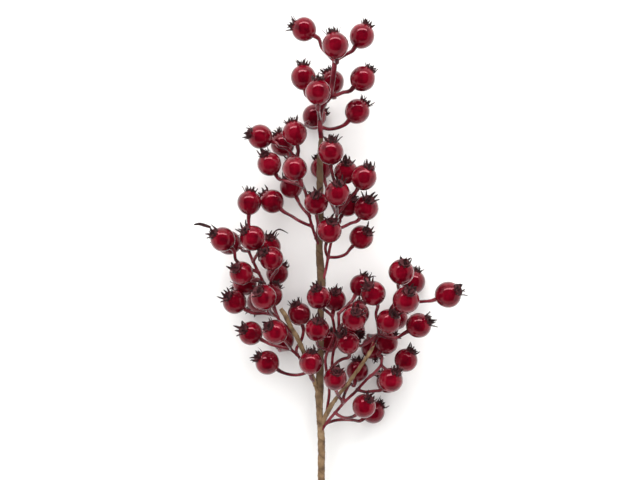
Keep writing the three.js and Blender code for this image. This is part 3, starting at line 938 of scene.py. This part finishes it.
@dataclass(frozen=True)
class MattBoard(Finish):
    """White matt board: the pale surface that the sprig lies on, with a faint tooth."""

    shade: str = "#fbfbfa"
    tooth: float = 2.0  # millimetres

    def build(self) -> Material:
        """Builds the material.

        Returns:
            The finished material.
        """
        material, tree, spot = self.start()
        fibres = add_node(tree, "TexNoise", {"Vector": spot, "Scale": per_mm(self.tooth), "Detail": 2.0})
        self.dress(tree, {"Base Color": linear(self.shade)}, fibres)
        return material


# ---- Pieces ----------------------------------------------------------------------------------------------


@dataclass
class Crown:
    """The ragged ring of dried sepals on a berry, with its cup of thin stamens."""

    material_number: int = 1
    sepals: tuple[int, int] = (8, 10)
    length: tuple[float, float] = (3.4, 5.8)  # millimetres
    width: tuple[float, float] = (1.7, 2.6)  # millimetres, at the foot
    lean: tuple[float, float] = (0, 34)  # degrees outwards
    curl: tuple[float, float] = (-45, 50)  # degrees that it turns on its way to the tip
    sway: tuple[float, float] = (-25, 25)  # degrees round the berry
    blunt_share: float = 0.25  # of the sepals that have lost their tip
    blunt_length: float = 0.65  # what is left of the length of one of those
    thickness: float = 0.45  # millimetres
    foot: float = 0.47  # where the sepals stand, as a part of the berry's radius
    rise: float = 0.88  # how high they start, as a part of the berry's radius
    inner_sepals: int = 7  # crumpled ones inside the ring
    inner_foot: float = 0.45  # where those stand, as a part of the ring's radius
    inner_size: float = 0.7
    stamens: int = 12
    stamen_length: tuple[float, float] = (1.6, 3.2)  # millimetres
    stamen_tilt: tuple[float, float] = (5, 35)  # degrees
    stamen_radii: tuple[float, float] = (0.28, 0.1)  # millimetres, at its foot and at its tip
    stamen_sunk: float = 0.3  # millimetres of it that are inside the cup
    stamen_gather: float = 0.8  # how far the tilted ones are brought back over the crown, from 0 to 1
    steps: int = 6
    scatter: float = 0.2  # how far a sepal stands off its place in the ring, as a part of the gap
    curl_growth: float = 1.4  # over 1, it curls more towards its tip
    blunt_taper: float = 0.7  # how much narrower a blunt tip is than the foot
    taper: float = 0.55  # under 1, it keeps its width for long
    tip_width: float = 0.16  # the least, as a part of the foot's
    cup: float = 0.3  # how far its edges stand in at the foot, as a part of half its width
    stamen_shade: float = 0.9  # how dark a stamen is, as a sepal is at this share of its length

    def add(self, mesh: BMesh, radius: float, dice: random.Random) -> None:
        """Adds the crown on top of a berry that stands along Z, in millimetres.

        Args:
            mesh: the berry's mesh.
            radius: the berry's radius.
            dice: the berry's own seeded chance.
        """
        count = dice.randint(*self.sepals)
        start = dice.uniform(0, math.tau)
        for i in range(count):
            turn = start + math.tau * (i + dice.uniform(-self.scatter, self.scatter)) / count
            self.add_sepal(mesh, radius * self.foot, radius * self.rise, turn, dice)
        for _ in range(self.inner_sepals):
            turn = dice.uniform(0, math.tau)
            out = radius * self.foot * self.inner_foot
            self.add_sepal(mesh, out, radius, turn, dice, self.inner_size)
        for _ in range(self.stamens):
            self.add_stamen(mesh, radius, dice)

    def add_sepal(
        self,
        mesh: BMesh,
        out: float,
        up: float,
        turn: float,
        dice: random.Random,
        size: float = 1.0,
    ) -> None:
        """Adds one sepal that leans out, curls and narrows to a ragged tip.

        Args:
            mesh: the berry's mesh.
            out: how far from the berry's axis it stands.
            up: how high it starts.
            turn: where on the ring it stands.
            dice: the berry's own seeded chance.
            size: its size, against one of the outer ring.
        """
        reach = mesh.verts.layers.float["reach"]
        blunt = dice.random() < self.blunt_share
        length = dice.uniform(*self.length) * (self.blunt_length if blunt else 1.0) * size
        half = dice.uniform(*self.width) / 2 * size
        lean = math.radians(dice.uniform(*self.lean))
        curl = math.radians(dice.uniform(*self.curl))
        sway = math.radians(dice.uniform(*self.sway))
        grid = bmesh.ops.create_grid(mesh, x_segments=2, y_segments=self.steps, size=1.0)["verts"]
        spine = [(out, up)]
        for i in range(self.steps):
            angle = lean + curl * ((i + 0.5) / self.steps) ** self.curl_growth
            out += math.sin(angle) * length / self.steps
            up += math.cos(angle) * length / self.steps
            spine.append((out, up))
        for corner in grid:
            side, share = corner.co.x, (corner.co.y + 1) / 2
            step = round(share * self.steps)
            narrow = 1 - self.blunt_taper * share**2 if blunt else (1 - share) ** self.taper
            wide = half * max(self.tip_width, narrow) * side
            cup = self.cup * half * side * side * (1 - share)
            across, high = spine[step]
            corner.co = Vector((across - cup, wide, high))
            corner.co.rotate(Quaternion((0, 0, 1), turn + sway * share))
            corner[reach] = share
        faces = dict.fromkeys(face for corner in grid for face in corner.link_faces)
        walls = bmesh.ops.solidify(mesh, geom=list(faces), thickness=self.thickness)["geom"]
        new = [item for item in walls if isinstance(item, BMFace)]
        for face in {*faces, *new, *(f for corner in grid for f in corner.link_faces)}:
            face.material_index = self.material_number
            face.smooth = True

    def add_stamen(self, mesh: BMesh, radius: float, dice: random.Random) -> None:
        """Adds one thin dry stamen in the middle of the crown.

        Args:
            mesh: the berry's mesh.
            radius: the berry's radius.
            dice: the berry's own seeded chance.
        """
        reach = mesh.verts.layers.float["reach"]
        long = dice.uniform(*self.stamen_length)
        tilt = Matrix.Rotation(math.radians(dice.uniform(*self.stamen_tilt)), 4, "X")
        turn = Matrix.Rotation(dice.uniform(0, math.tau), 4, "Z")
        high = radius * self.rise + long / 2 - self.stamen_sunk
        made = bmesh.ops.create_cone(
            mesh,
            cap_ends=True,
            segments=5,
            radius1=self.stamen_radii[0],
            radius2=self.stamen_radii[1],
            depth=long,
            matrix=turn @ tilt @ Matrix.Translation((0, 0, high)),
        )["verts"]
        # The tilt turns about the berry's middle, so the stamen is brought back over its crown.
        drift = sum((corner.co for corner in made), Vector()) / len(made)
        back = self.stamen_gather
        bmesh.ops.translate(mesh, verts=made, vec=Vector((-drift.x * back, -drift.y * back, high - drift.z)))
        for corner in made:
            corner[reach] = self.stamen_shade
        for face in {face for corner in made for face in corner.link_faces}:
            face.material_index = self.material_number


@dataclass
class BerryMaker:
    """Makes berries: a spun body that comes to a point at the stalk, a neck and a crown."""

    skin: Material
    dry: Material
    crown: Crown = field(default_factory=Crown)
    sides: int = 36
    arc_steps: int = 15
    shoulder: float = 66.0  # degrees above the middle where the body ends and the neck starts
    point: float = 0.04  # how far the stalk's end is drawn out, as a part of the radius
    unevenness: float = 0.022  # as a part of the radius
    bulges: float = 0.9  # to the radius
    dry_from: float = 0.95  # how high the skin ends and the dried cup starts, as a part of the radius

    def outline(self, radius: float) -> list[Vector]:
        """Gives the profile of a berry along Z.

        Args:
            radius: the berry's radius.

        Returns:
            Points from the stalk's end up and into the crown.
        """
        points = []
        for i in range(self.arc_steps + 1):
            angle = math.radians(-90 + (self.shoulder + 90) * i / self.arc_steps)
            drawn = self.point * max(0.0, -math.sin(angle)) ** 6
            points.append((math.cos(angle), math.sin(angle) - drawn))
        neck = [(0.41, 0.935), (0.41, 0.97), (0.43, 1.02), (0.42, 1.055), (0.35, 1.05), (0.28, 1), (0, 0.96)]
        points[0] = (0.0, points[0][1])
        return [Vector((across * radius, 0, up * radius)) for across, up in points + neck]

    def body(self, mesh: BMesh, radius: float) -> None:
        """Spins the profile into a closed body.

        Args:
            mesh: the berry's mesh.
            radius: the berry's radius.
        """
        corners = [mesh.verts.new(point) for point in self.outline(radius)]
        edges = [mesh.edges.new(pair) for pair in zip(corners, corners[1:])]
        bmesh.ops.spin(
            mesh,
            geom=[*corners, *edges],
            cent=(0, 0, 0),
            axis=(0, 0, 1),
            angle=math.tau,
            steps=self.sides,
            use_merge=True,
        )
        bmesh.ops.remove_doubles(mesh, verts=mesh.verts, dist=0.01)

    def make(self, name: str, item: Berry, shade: float) -> Object:
        """Makes one berry where it belongs.

        Args:
            name: the piece's name, which also seeds its chance.
            item: the berry's place, size and heading.
            shade: how far painted shade darkens it, from 0 to 1.

        Returns:
            The finished piece.
        """
        dice = random.Random(name)
        mesh = bmesh.new()
        mesh.verts.layers.float.new("reach")
        painted_shade = mesh.verts.layers.float.new("painted_shade")
        self.body(mesh, item.radius)
        seed = Vector([dice.uniform(-50, 50) for _ in range(3)])
        for corner in mesh.verts:
            bulge = noise.noise(corner.co / item.radius * self.bulges + seed)
            corner.co *= 1 + self.unevenness * bulge
        rim = item.radius * self.dry_from
        for face in mesh.faces:
            face.smooth = True
            if face.calc_center_median().z > rim:
                face.material_index = self.crown.material_number
        self.crown.add(mesh, item.radius, dice)
        # Painted shade, the same all over the berry.
        for corner in mesh.verts:
            corner[painted_shade] = shade
        roll = Quaternion((0, 0, 1), dice.uniform(0, math.tau))
        aim = Vector((0, 0, 1)).rotation_difference(Vector(item.direction))
        where = Matrix.LocRotScale(in_frame(item.middle), aim @ roll, Vector((MM, MM, MM)))
        bmesh.ops.transform(mesh, matrix=where, verts=mesh.verts)
        return finished(mesh, name, [self.skin, self.dry])


@dataclass
class Pick:
    """One moulded pick: its branching stalks, melted into one skin, and its berries."""

    side: str
    plan: PickPlan
    router: StalkRouter
    maker: BerryMaker
    stalk: Material
    sides: int = 12
    stretch: float = 1.6  # millimetres from one ring of a stalk to the next
    seat: float = 0.8  # how far a stalk runs into its berry
    flare: float = 1.45  # the stalk's thickness where it meets the berry, as a part of its own
    flare_length: float = 9.0
    knot_size: float = 1.3  # the size of a knot, as a part of the spine's radius
    back_painted_shade: float = 0.35  # painted shade on the berries at the back, from 0 to 1
    voxel: float = 0.36  # millimetres
    melt_passes: int = 3

    def rod(self, mesh: BMesh, path: list[np.ndarray], radius: float, flared: bool) -> None:
        """Adds one spine or stalk to the mesh.

        Args:
            mesh: the pick's mesh.
            path: the rod's points in the layout.
            radius: half of its thickness, in millimetres.
            flared: whether it thickens towards its end, to carry a berry.
        """
        curve = SmoothRoute(path)
        count = max(6, round(curve.length / self.stretch))
        radii = []
        for i in range(count + 1):
            left = curve.length * (1 - i / count)
            near = max(0.0, 1 - left / self.flare_length) if flared else 0.0
            radii.append(radius * (1 + (self.flare - 1) * near**1.5) * MM)
        sweep(mesh, [in_frame(point) for point in curve.spaced(count)], radii, self.sides)

    def stalks(self) -> Object:
        """Makes the pick's stalks and melts them into one skin.

        Returns:
            The finished piece.
        """
        mesh = bmesh.new()
        spines = self.router.spines(self.plan)
        feet = self.router.feet(spines)
        knots = [self.router.nearest(place(knot), feet) for spine in self.plan.spines for knot in spine]
        for path in spines:
            self.rod(mesh, path, SPINE_RADIUS * self.plan.spine_fullness, flared=False)
        for item in self.plan.berries:
            foot = knots[item.knot]
            path = self.router.stalk(foot, item, self.seat)
            self.rod(mesh, path, STALK_RADIUS * self.plan.stalk_fullness, flared=True)
            size, there = SPINE_RADIUS * self.knot_size * MM, Matrix.Translation(in_frame(foot))
            bmesh.ops.create_icosphere(mesh, subdivisions=2, radius=size, matrix=there)
        rough = finished(mesh, f"{self.side}_stalks_rough", [])
        melted = rough.modifiers.new("melt", "REMESH")
        melted.mode = "VOXEL"
        melted.voxel_size = self.voxel * MM
        graph = bpy.context.evaluated_depsgraph_get()
        smooth = bmesh.new()
        smooth.from_mesh(rough.evaluated_get(graph).to_mesh())
        bpy.data.objects.remove(rough)
        for _ in range(self.melt_passes):
            bmesh.ops.smooth_vert(
                smooth, verts=smooth.verts, factor=0.5, use_axis_x=True, use_axis_y=True, use_axis_z=True
            )
        for face in smooth.faces:
            face.smooth = True
        return finished(smooth, f"{self.side}_stalks", [self.stalk])

    def build(self) -> None:
        """Makes the stalks and every berry, and declares what they stand for."""
        node = f"{self.side}_pick"
        declare(self.stalks(), Slot.STALK, node)
        for number, item in enumerate(self.plan.berries, start=1):
            name = f"{self.side}_berry_{number}"
            if item.loose:
                self.check(name, item)
            # Only the berries at the back get painted shade.
            shade = 0.0 if item.loose else self.back_painted_shade
            body = self.maker.make(f"{name}_body", item, shade)
            declare(body, Slot.BERRY, name if item.loose else node)

    @staticmethod
    def check(node: str, item: Berry) -> None:
        """Stops the script if a berry is not where the part has it.

        Args:
            node: the part's node for the berry.
            item: the berry.
        """
        low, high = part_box(node)
        reach = in_frame(item.middle + item.direction * CROWN_HEIGHT / 2)
        apart = ((low + high) / 2 - reach).length
        if apart > MATCH_LIMIT:
            raise ValueError(f"{node} is {apart / MM:.2f} mm from where the part has it")


@dataclass
class WrappedStem:
    """A wire stem wound with crepe tape: turns that overlap, wrinkles and bulges."""

    name: str
    plan: StemPlan
    tape: Material
    tip_painted_shade: float = 0.75  # how far painted shade darkens the tape near the tip, from 0 to 1
    painted_shade_fade: float = 25.0  # millimetres over which that painted shade fades out
    step: float = 0.15  # how far the tape's edge stands up, in millimetres
    wrinkle: float = 0.2  # millimetres
    wrinkles: tuple[float, float] = (2.2, 1.1)  # how close they are, round the stem and along it
    bulge: float = 0.35  # millimetres
    bulge_length: float = 3.0  # millimetres of stem that their noise is stretched over
    bulges: float = 0.8  # how close they are
    sharpness: float = 0.6  # under 1, the tape rises soon after the last turn's edge
    stretch: float = 0.9  # millimetres between rings
    sides: int = 28

    def relief(self, around: float, along: float) -> float:
        """Gives how far the tape stands out.

        Args:
            around: the turn round the stem, from 0 to 1.
            along: the distance from the tip, in metres.

        Returns:
            The height over the wrapped radius, in metres.
        """
        place_in_turn = (along / (TAPE_PITCH * MM) + around) % 1.0
        edge = self.step * (place_in_turn**self.sharpness - 0.5)
        angle, along = math.tau * around, along / MM
        ring = Vector((math.cos(angle), math.sin(angle), along / self.bulge_length))
        across, down = self.wrinkles
        fine = noise.noise(Vector((ring.x * across, ring.y * across, along * down)))
        broad = noise.noise(ring * self.bulges)
        return (edge + self.wrinkle * fine + self.bulge * broad) * MM

    def build(self) -> None:
        """Makes the wrapped stem."""
        curve = SmoothRoute(place(point) for point in self.plan.points)
        count = round(curve.length / self.stretch)
        radii = [radius_at(self.plan, curve.share_at(i / count)) * MM for i in range(count + 1)]
        mesh = bmesh.new()
        painted_shade = mesh.verts.layers.float.new("painted_shade")
        path = [in_frame(point) for point in curve.spaced(count)]
        rod = sweep(mesh, path, radii, self.sides, self.relief)
        along = mesh.verts.layers.float["along"]
        # Painted shade, full near the tip and fading out further down.
        for corner in rod:
            left = (self.plan.painted_shade_until - corner[along] / MM) / self.painted_shade_fade
            corner[painted_shade] = self.tip_painted_shade * min(1.0, max(0.0, left))
        declare(finished(mesh, f"{self.name}_tape", [self.tape]), Slot.TAPE, self.name)


@dataclass
class StemWire:
    """The steel wire in the main stem, which shows at the cut end."""

    metal: Material
    share: float = 0.42  # of the wrapped radius
    proud: float = 2.2  # millimetres that it stands out of the tape
    length: float = 14.0  # millimetres of it that are made; the rest is inside the tape
    chamfer: float = 0.35  # millimetres
    tip: float = 0.72  # the cut end's radius, as a part of the wire's
    sides: int = 20

    def build(self) -> None:
        """Makes the wire's end with the burr that cutting left."""
        end, before = (in_frame(place(point)) for point in (MAIN_STEM.points[-1], MAIN_STEM.points[-2]))
        ahead = (end - before).normalized()
        radius = MAIN_STEM.radii[-1] * self.share * MM
        path = [end + ahead * (self.proud - self.length) * MM, end]
        path += [end + ahead * (self.proud - self.chamfer) * MM, end + ahead * self.proud * MM]
        mesh = bmesh.new()
        sweep(mesh, path, [radius, radius, radius, radius * self.tip], self.sides)
        declare(finished(mesh, "stem_wire_end", [self.metal]), Slot.WIRE, "stem_wire")


@dataclass
class LongSepal:
    """A crown sepal that dried long and curled: a thin strip that narrows to both ends."""

    name: str
    points: list[Point]
    dry: Material
    width: float  # millimetres
    thickness: float = 0.5  # millimetres
    steps: int = 22
    tip_width: float = 0.35  # the least, as a part of the widest
    foot: float = 0.15  # where on its swell it starts, as a share of its length
    cup: float = 0.5  # millimetres that its edges stand up
    ruffle: float = 0.35  # millimetres
    ruffles: float = 7.0  # along its length
    foot_shade: float = 0.3  # how dark its foot is, against its tip

    def build(self) -> None:
        """Makes the sepal."""
        curve = SmoothRoute(place(point) for point in self.points)
        path = [in_frame(point) for point in curve.spaced(self.steps)]
        mesh = bmesh.new()
        reach = mesh.verts.layers.float.new("reach")
        grid = bmesh.ops.create_grid(mesh, x_segments=4, y_segments=self.steps, size=1.0)["verts"]
        for corner in grid:
            side, share = corner.co.x, (corner.co.y + 1) / 2
            step = round(share * self.steps)
            ahead = (path[min(step + 1, self.steps)] - path[max(step - 1, 0)]).normalized()
            across = ahead.cross(Vector((0, 0, 1))).normalized()
            upward = across.cross(ahead)
            swell = math.sin(math.pi * min(1.0, self.foot + share * (1 - self.foot)))
            wide = self.width / 2 * (self.tip_width + (1 - self.tip_width) * swell)
            ruffle = self.ruffle * noise.noise(Vector((side, share * self.ruffles, len(self.name))))
            corner.co = path[step] + (across * side * wide + upward * (self.cup * side * side + ruffle)) * MM
            corner[reach] = self.foot_shade + (1 - self.foot_shade) * share
        bmesh.ops.solidify(mesh, geom=list(mesh.faces), thickness=self.thickness * MM)
        for face in mesh.faces:
            face.smooth = True
        declare(finished(mesh, f"{self.name}_leaf", [self.dry]), Slot.SEPAL, self.name)


# ---- Studio ----------------------------------------------------------------------------------------------


@dataclass
class Studio:
    """A pale surface in a white tent that is open overhead, with the camera looking straight down."""

    surface_size: float = 12.0  # metres
    white: str = "#fffdfb"
    tent: float = 0.95  # how bright the tent is, then its opening and the bar
    opening: float = 0.015
    bar: float = 9.0
    overhead: float = 33.0  # watts
    overhead_size: float = 2.2  # metres
    overhead_at: tuple[float, float, float] = (-0.15, 0.3, 1.6)  # metres
    lens: float = 60.0  # millimetres
    half_across: float = 1.35  # half of the opening, as a part of the height over the sprig
    low_edge: float = -1.5  # where the opening starts and ends along the sprig, in the same measure
    high_edge: float = 1.15
    bar_edge: float = 1.95  # where the bar ends, which starts at the opening's edge
    skyline: float = 0.01  # a direction that rises less counts as rising this much
    soft: float = 0.07  # how slowly the opening's edge fades

    def surface(self) -> None:
        """Makes the surface that the sprig lies on."""
        board = MattBoard("white matt board, pressed", roughness=0.9, bump_height=0.02).build()
        mesh = bmesh.new()
        bmesh.ops.create_grid(mesh, x_segments=8, y_segments=8, size=self.surface_size / 2)
        floor = finished(mesh, "surface", [board])

    def sky(self) -> None:
        """Makes the tent: white all round, dark where it is open overhead, with one bright strip."""
        world = bpy.data.worlds.new("tent")
        bpy.context.scene.world = world
        world.use_nodes = True
        tree = world.node_tree
        split = add_node(tree, "SeparateXYZ", {"Vector": add_node(tree, "TexCoord").outputs["Generated"]})
        height = add_node(tree, "Math", {0: split.outputs["Z"], 1: self.skyline}, operation="MAXIMUM")
        spans = (
            ("X", -self.half_across, self.half_across),
            ("Y", self.low_edge, self.high_edge),
            ("Y", self.high_edge, self.bar_edge),
        )
        inside = []
        for axis, low, high in spans:
            half = (high - low) / 2
            slope = add_node(tree, "Math", {0: split.outputs[axis], 1: height}, operation="DIVIDE")
            off = add_node(tree, "Math", {0: slope, 1: (high + low) / 2}, operation="SUBTRACT")
            size = add_node(tree, "Math", {0: off}, operation="ABSOLUTE")
            ends = {"From Min": half - self.soft, "From Max": half + self.soft, "To Min": 1.0, "To Max": 0.0}
            fade = add_node(tree, "MapRange", {"Value": size, **ends}, interpolation_type="SMOOTHSTEP")
            inside.append(fade)
        width, *along = inside
        hole, strip = (add_node(tree, "Math", {0: width, 1: span}, operation="MULTIPLY") for span in along)
        strength = self.tent
        for part, brightness in ((hole, self.opening), (strip, self.bar)):
            change = {0: part, 1: brightness - self.tent, 2: strength}
            strength = add_node(tree, "Math", change, operation="MULTIPLY_ADD")
        set_inputs(tree, tree.nodes["Background"], {"Color": linear(self.white), "Strength": strength})

    def lamp(self) -> None:
        """Hangs a wide soft lamp over the sprig, which lights it and doesn't mirror in the berries."""
        data = bpy.data.lights.new("overhead", "AREA")
        data.shape = "DISK"
        data.size = self.overhead_size
        data.energy = self.overhead
        lamp = bpy.data.objects.new("overhead", data)
        lamp.location = self.overhead_at
        lamp.rotation_euler = (-lamp.location).to_track_quat("-Z", "Y").to_euler()
        lamp.visible_glossy = False
        bpy.context.scene.collection.objects.link(lamp)

    def camera(self) -> None:
        """Puts the camera straight over the layout's zero, at the height that the plan is given from."""
        data = bpy.data.cameras.new("camera")
        data.lens = self.lens
        camera = bpy.data.objects.new("camera", data)
        camera.location = in_frame(np.array((0.0, 0.0, EYE_HEIGHT)))
        bpy.context.scene.collection.objects.link(camera)
        bpy.context.scene.camera = camera

    def build(self) -> None:
        """Builds the whole studio."""
        self.surface()
        self.sky()
        self.lamp()
        self.camera()
        bpy.context.scene.view_settings.view_transform = "Standard"


def main() -> None:
    """Builds the studio and the sprig."""
    logging.basicConfig(level=logging.INFO, format="%(name)s: %(message)s")
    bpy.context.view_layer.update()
    Studio().build()
    skin = LacqueredBerry("foam, dipped in red lacquer", roughness=0.05, bump_height=0.09, ior=1.6).build()
    dry = DriedSepal("dyed paper, pressed and dried", roughness=0.75, bump_height=0.1).build()
    stalk = MouldedStalk("polyethylene, injection moulded", roughness=0.24, bump_height=0.06).build()
    tape = CrepeTape("crepe paper tape, wound", roughness=0.8, bump_height=0.12).build()
    metal = DrawnWire("steel wire, drawn", roughness=0.45, bump_height=0.02, metallic=1.0).build()
    berries = [item for plan in PICKS.values() for item in plan.berries]
    stems = {"main_stem": MAIN_STEM, "left_branch": LEFT_BRANCH, "right_branch": RIGHT_BRANCH}
    settle(berries, [ball for plan in stems.values() for ball in stem_balls(plan)])
    router = StalkRouter(berries)
    maker = BerryMaker(skin, dry)
    for name, plan in stems.items():
        WrappedStem(name, plan, tape).build()
    StemWire(metal).build()
    for side, plan in PICKS.items():
        Pick(side, plan, router, maker, stalk).build()
    for name, points in LONG_SEPALS.items():
        LongSepal(name, points, dry, LONG_SEPAL_WIDTHS[name]).build()


if __name__ == "__main__":
    main()
